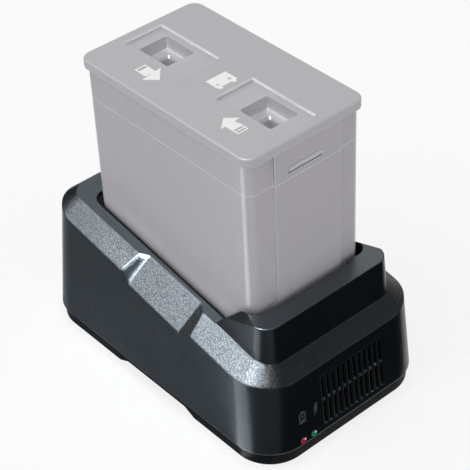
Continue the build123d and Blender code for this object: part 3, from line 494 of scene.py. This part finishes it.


# edge is a radius within which corners take edgeColour, a painted highlight;
# wall paints the upright faces of the lid's recesses lighter and deep the
# floor of the finger cups, painted light that lifts their shade, from heights and slopes given
# as pairs
mouldedCommon = {"toneScale": 18.0, "spread": 0.05, "specular": 0.5, "speckleScale": 1600.0,
                 "toneShare": 0.6, "depth": 0.00003}
plasticLooks = {
    # the liner is near-black plastic, and its colour also paints the shade of the gap around the
    # pack
    "linerPlastic": {"colour": (0.0025, 0.0028, 0.003), "roughness": (0.45, 0.6),
                     "specular": 0.02},
    "panPlastic": {"colour": (0.004, 0.005, 0.006), "roughness": (0.36, 0.48), "specular": 0.05},
    "footRubber": {"colour": (0.02, 0.02, 0.02), "roughness": (0.75, 0.9), "specular": 0.3},
    "boardLaminate": {"colour": (0.03, 0.13, 0.06), "roughness": (0.3, 0.45)},
    "windingTape": {"colour": (0.6, 0.47, 0.1), "roughness": (0.4, 0.55)},
    "capacitorSleeve": {"colour": (0.02, 0.03, 0.07), "roughness": (0.2, 0.3)},
    "ledEpoxy": {"colour": (0.7, 0.7, 0.7), "roughness": (0.1, 0.2)},
    "inletPlastic": {"colour": (0.008, 0.008, 0.009), "roughness": (0.35, 0.5), "specular": 0.3},
    "packPlastic": {"colour": (0.408, 0.393, 0.411), "roughness": (0.24, 0.32), "specular": 0.45,
                    "spread": 0.012, "toneScale": 9.0,
                    "edge": 0.0010, "edgeColour": (0.72, 0.705, 0.73)},
    "lidPlastic": {"colour": (0.405, 0.392, 0.410), "roughness": (0.5, 0.62), "specular": 0.12,
                   "spread": 0.012, "toneScale": 9.0,
                   "edge": 0.0010, "edgeColour": (0.70, 0.685, 0.71),
                   "ink": (0.80, 0.80, 0.80), "inkFrom": (0.2394, 0.2397),
                   "wall": (0.66, 0.645, 0.67), "wallFrom": (0.2330, 0.2334),
                   "wallSlope": (0.3, 0.6), "wallInside": ((0.0, -0.002), (0.098, 0.166))},
    "latchPlastic": {"colour": (0.40, 0.387, 0.405), "roughness": (0.42, 0.55), "specular": 0.2,
                     "spread": 0.015, "deep": (0.47, 0.457, 0.475), "deepTo": (0.2362, 0.2368),
                     "edge": 0.0007, "edgeColour": (0.56, 0.545, 0.57)},
    "socketPlastic": {"colour": (0.02, 0.02, 0.02), "roughness": (0.5, 0.6)},
    "blockPlastic": {"colour": (0.18, 0.19, 0.2), "roughness": (0.4, 0.5)},
}


def mouldedPlastic(name, look):
    v = {**mouldedCommon, **look}
    paint = newPaint(name)
    x, y, z = paint.axes()
    tone = paint.noise(v["toneScale"], detail=3.0)
    speckle = paint.noise(v["speckleScale"])
    colour = paint.blend(tone, shade(v["colour"], 1 - v["spread"]),
                         shade(v["colour"], 1 + v["spread"]))
    if "ink" in v:
        inked = lidInk(x, y, lidMarks) * z.step(*v["inkFrom"])
        colour = paint.blend(inked, colour, rgba(v["ink"]))
    # painted light: the upright walls of the lid's recesses are painted lighter, lifting their
    # shade
    if "wall" in v:
        upright = 1 - paint.axes("Normal")[2].step(*v["wallSlope"])
        inner = patch(x, y, *v["wallInside"]) * z.step(*v["wallFrom"])
        colour = paint.blend(upright * inner, colour, rgba(v["wall"]))
    # painted light: the floors of the finger cups are painted lighter, lifting their shade
    if "deep" in v:
        colour = paint.blend(1 - z.step(*v["deepTo"]), colour, rgba(v["deep"]))
    # painted highlight: corners and edges are painted lighter
    if "edge" in v:
        colour = paint.blend(paint.edges(v["edge"]), colour, rgba(v["edgeColour"]))
    patchy = tone * v["toneShare"] + speckle * (1 - v["toneShare"])
    return paint.finish(paint.shader({
        "Base Color": colour, "Roughness": patchy.fit(*v["roughness"]),
        "Specular IOR Level": v["specular"], "Normal": paint.bump(speckle, v["depth"])}))


metalCommon = {"toneScale": 60.0, "spread": (0.85, 1.08), "scratchScale": 900.0,
               "depth": 0.00002}
metalLooks = {
    "screwSteel": {"colour": (0.45, 0.45, 0.46), "roughness": (0.3, 0.45)},
    "coreIron": {"colour": (0.10, 0.10, 0.11), "roughness": (0.55, 0.7)},
    "sinkAluminium": {"colour": (0.62, 0.63, 0.64), "roughness": (0.3, 0.42)},
    "contactBrass": {"colour": (0.72, 0.6, 0.36), "roughness": (0.2, 0.32)},
    "springSteel": {"colour": (0.5, 0.5, 0.51), "roughness": (0.22, 0.34)},
}


def metalFinish(name, look):
    v = {**metalCommon, **look}
    paint = newPaint(name)
    tone = paint.noise(v["toneScale"], detail=3.0)
    scratches = paint.noise(v["scratchScale"])
    low, high = v["spread"]
    colour = paint.blend(tone, shade(v["colour"], low), shade(v["colour"], high))
    return paint.finish(paint.shader({
        "Base Color": colour, "Metallic": 1.0, "Roughness": scratches.fit(*v["roughness"]),
        "Normal": paint.bump(scratches, v["depth"])}))


# glint is the middle of a small painted highlight, a white spot in the lens's colour and glow,
# in x and z on the lamp end
lensCommon = {"toneScale": 400.0, "spread": (0.75, 1.2), "roughness": (0.05, 0.12),
              "coat": 1.0, "coatRoughness": 0.03, "glow": 0.12, "depth": 0.00002,
              "glintSize": (0.0013, 0.0011), "glintTurn": 35.0, "glintSoft": 0.0003,
              "glintColour": (1.0, 1.0, 1.0)}
lensLooks = {
    "lensRed": {"colour": (0.30, 0.010, 0.025), "glint": (-0.0433, 0.0164)},
    "lensGreen": {"colour": (0.008, 0.15, 0.085), "glint": (-0.0332, 0.0164)},
}


def clearLens(name, look):
    v = {**lensCommon, **look}
    paint = newPaint(name)
    x, y, z = paint.axes()
    tone = paint.noise(v["toneScale"], detail=1.0)
    low, high = v["spread"]
    colour = paint.blend(tone, shade(v["colour"], low), shade(v["colour"], high))
    # painted highlight: a white spot in the colour, which also glows
    glint = patch(x, z, v["glint"], v["glintSize"], v["glintTurn"], v["glintSoft"])
    colour = paint.blend(glint, colour, rgba(v["glintColour"]))
    return paint.finish(paint.shader({
        "Base Color": colour, "Roughness": tone.fit(*v["roughness"]), "Coat Weight": v["coat"],
        "Coat Roughness": v["coatRoughness"], "Emission Color": colour,
        "Emission Strength": v["glow"], "Normal": paint.bump(tone, v["depth"])}))


finishes = {"housingPlastic": housingPlastic(housingLook)}
for looks, make in ((plasticLooks, mouldedPlastic), (metalLooks, metalFinish),
                    (lensLooks, clearLens)):
    finishes.update({name: make(name, look) for name, look in looks.items()})
for entry in frame["record"]["subparts"]:
    # housing_plastic in the record is housingPlastic here
    first, *rest = entry["material_slot"].split("_")
    slots = nodes[entry["node"]].data.materials
    slots.clear()
    slots.append(finishes[first + "".join(word.title() for word in rest)])
print("materials made:", len(finishes))

# width of the rounded edge, and the smallest turn in degrees that counts as an edge
edgeValues = {
    "upper_housing": (0.0010, 18.0), "base_pan": (0.0006, 25.0), "bay_liner": (0.0004, 25.0),
    "pack_case": (0.0005, 25.0), "pack_head": (0.0005, 25.0), "pack_lid": (0.0005, 25.0),
    "latch_front": (0.0006, 25.0), "latch_rear": (0.0006, 25.0), "mains_inlet": (0.0003, 25.0),
}
edgeCommon = {"weld": 0.00001, "flat": 0.4, "segments": 2}


def roundEdges(piece, width, turn, v):
    for face in piece.data.polygons:
        face.use_smooth = True
    weld = piece.modifiers.new("weld", "WELD")
    weld.merge_threshold = v["weld"]
    flat = piece.modifiers.new("flat", "DECIMATE")
    flat.decimate_type = "DISSOLVE"
    flat.angle_limit = math.radians(v["flat"])
    edge = piece.modifiers.new("edge", "BEVEL")
    edge.width = width
    edge.segments = v["segments"]
    edge.limit_method = "ANGLE"
    edge.angle_limit = math.radians(turn)
    edge.use_clamp_overlap = True
    edge.harden_normals = False
    normals = piece.modifiers.new("normals", "WEIGHTED_NORMAL")
    normals.keep_sharp = False


for name, (width, turn) in edgeValues.items():
    roundEdges(nodes[name], width, turn, edgeCommon)
print("edges rounded:", len(edgeValues))
